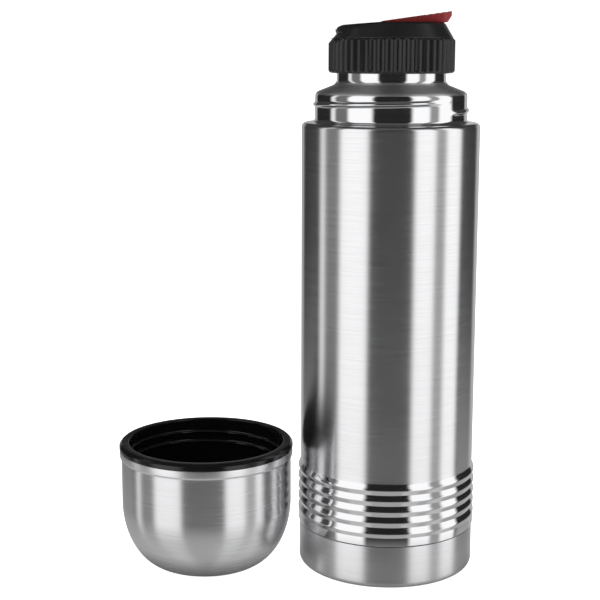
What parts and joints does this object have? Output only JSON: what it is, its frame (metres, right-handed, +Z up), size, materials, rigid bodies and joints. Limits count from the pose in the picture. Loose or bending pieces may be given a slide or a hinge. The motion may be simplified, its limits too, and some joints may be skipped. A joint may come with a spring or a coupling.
{
  "type": "vacuum flask",
  "caption": "Double-walled steel vacuum flask with a screw-in pouring stopper, a tilting lever that opens its valve, and a drinking cup standing beside it.",
  "frame": {"origin": "centre of the flask's base, on the surface it stands on", "axes": "+Z up along the flask's axis; +X towards the tip of the pouring lever; the cup stands on the -X side"},
  "size_m": [0.1695, 0.0874, 0.2605],
  "materials": {
    "brushed_steel": "brushed round the axis, beads and collar polished",
    "vessel_steel": "satin, electropolished inside",
    "plain_steel": "plain drawn",
    "copper_foil": "bright copper foil",
    "getter_metal": "sintered",
    "seal_glass": "fused bead",
    "black_plastic": "fine moulded texture",
    "gloss_black": "polished moulding",
    "red_plastic": "satin moulding",
    "white_plastic": "natural moulding",
    "silicone": "translucent silicone"
  },
  "bodies": {
    "flask": {"outer_shell": "brushed_steel", "inner_vessel": "vessel_steel", "radiation_shield": "copper_foil", "vacuum_plate": "plain_steel", "getter": "getter_metal", "exhaust_seal": "seal_glass", "base_cap": "brushed_steel"},
    "gasket": {"neck_gasket": "silicone"},
    "stopper": {"stopper_body": "black_plastic", "grip_ring": "black_plastic", "spout_deck": "black_plastic", "lever_pin": "plain_steel", "valve_cage": "white_plastic", "stem_seal": "silicone", "valve_spring": "plain_steel"},
    "lever": {"pour_lever": "red_plastic"},
    "valve": {"valve_stem": "plain_steel", "valve_disc": "black_plastic", "valve_seal": "silicone", "spring_collar": "white_plastic"},
    "cup": {"cup_shell": "brushed_steel", "cup_liner": "gloss_black"}
  },
  "joints": [
    {"name": "stopper_rise", "type": "slide", "parent": "flask", "child": "gasket", "axis": [0, 0, 1], "range_m": [0, 0.009]},
    {"name": "stopper_turn", "type": "hinge", "parent": "gasket", "child": "stopper", "pos_m": [0, 0, 0.2375], "axis": [0, 0, 1], "range_deg": [0, 540]},
    {"name": "lever_tilt", "type": "hinge", "parent": "stopper", "child": "lever", "pos_m": [0.00451, 0, 0.2523], "axis": [0, -1, 0], "range_deg": [0, 45]},
    {"name": "valve_travel", "type": "slide", "parent": "stopper", "child": "valve", "axis": [0, 0, -1], "range_m": [0, 0.00367], "stiffness_N_per_m": 250, "deforming": ["valve_spring"]},
    {"name": "cup_lift", "type": "slide", "parent": "flask", "child": "cup", "axis": [0, 0, 1], "range_m": [0, 0.28]}
  ],
  "couplings": [
    {"joint": "stopper_turn", "follows": "stopper_rise", "rad_per_m": 1047.2},
    {"joint": "lever_tilt", "follows": "valve_travel", "rad_per_m": 214}
  ]
}
